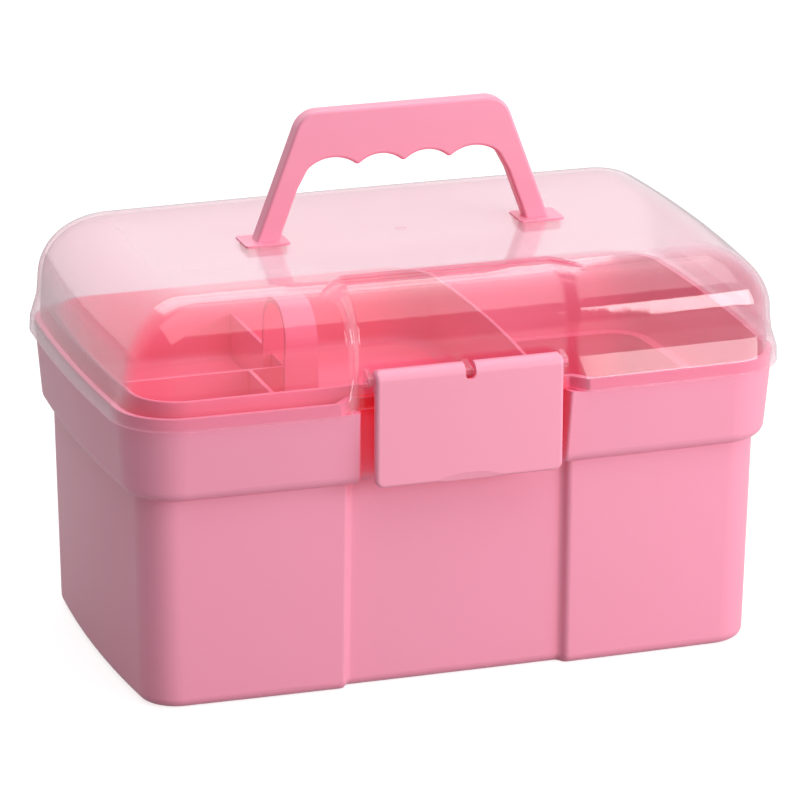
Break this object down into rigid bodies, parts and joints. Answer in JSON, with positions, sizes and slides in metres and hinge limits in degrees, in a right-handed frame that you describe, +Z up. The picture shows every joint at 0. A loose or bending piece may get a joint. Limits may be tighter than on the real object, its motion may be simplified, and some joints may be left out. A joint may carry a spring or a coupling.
{
  "type": "carry storage box",
  "caption": "Moulded plastic carry box with a clear domed lid hinged along the rear, a front latch, a carry handle on the lid and a lift-out tray",
  "frame": {"origin": "on the floor, under the middle of the bounding box", "axes": "+X runs along the box from its left end to its right end, the latch and front face -Y, +Z is up"},
  "size_m": [0.33, 0.2064, 0.2574],
  "materials": {
    "base": "pink injection-moulded polypropylene, satin gloss",
    "lid": "clear pink-tinted styrene, glossy",
    "handle": "pink injection-moulded polypropylene, satin gloss",
    "latch": "pink injection-moulded polypropylene, satin gloss",
    "tray": "pink injection-moulded polypropylene, satin gloss",
    "hinge_pins": "bright drawn wire",
    "latch_pin": "pink injection-moulded polypropylene rod"
  },
  "bodies": {
    "base": {"base_shell": "base", "hinge_pin_left": "hinge_pins", "hinge_pin_right": "hinge_pins"},
    "lid": {"lid_cover": "lid", "carry_handle": "handle", "latch_pin": "latch_pin"},
    "latch": {"front_latch": "latch"},
    "tray": {"lift_out_tray": "tray"}
  },
  "joints": [
    {"name": "lid_hinge", "type": "hinge", "parent": "base", "child": "lid", "pos_m": [0, 0.1019, 0.1376], "axis": [-1, 0, 0], "range_deg": [0, 105]},
    {"name": "latch_hinge", "type": "hinge", "parent": "lid", "child": "latch", "pos_m": [0, -0.0962, 0.1552], "axis": [-1, 0, 0], "range_deg": [0, 100]},
    {"name": "tray_slide", "type": "slide", "parent": "base", "child": "tray", "axis": [1, 0, 0], "range_m": [0, 0.1115]}
  ]
}
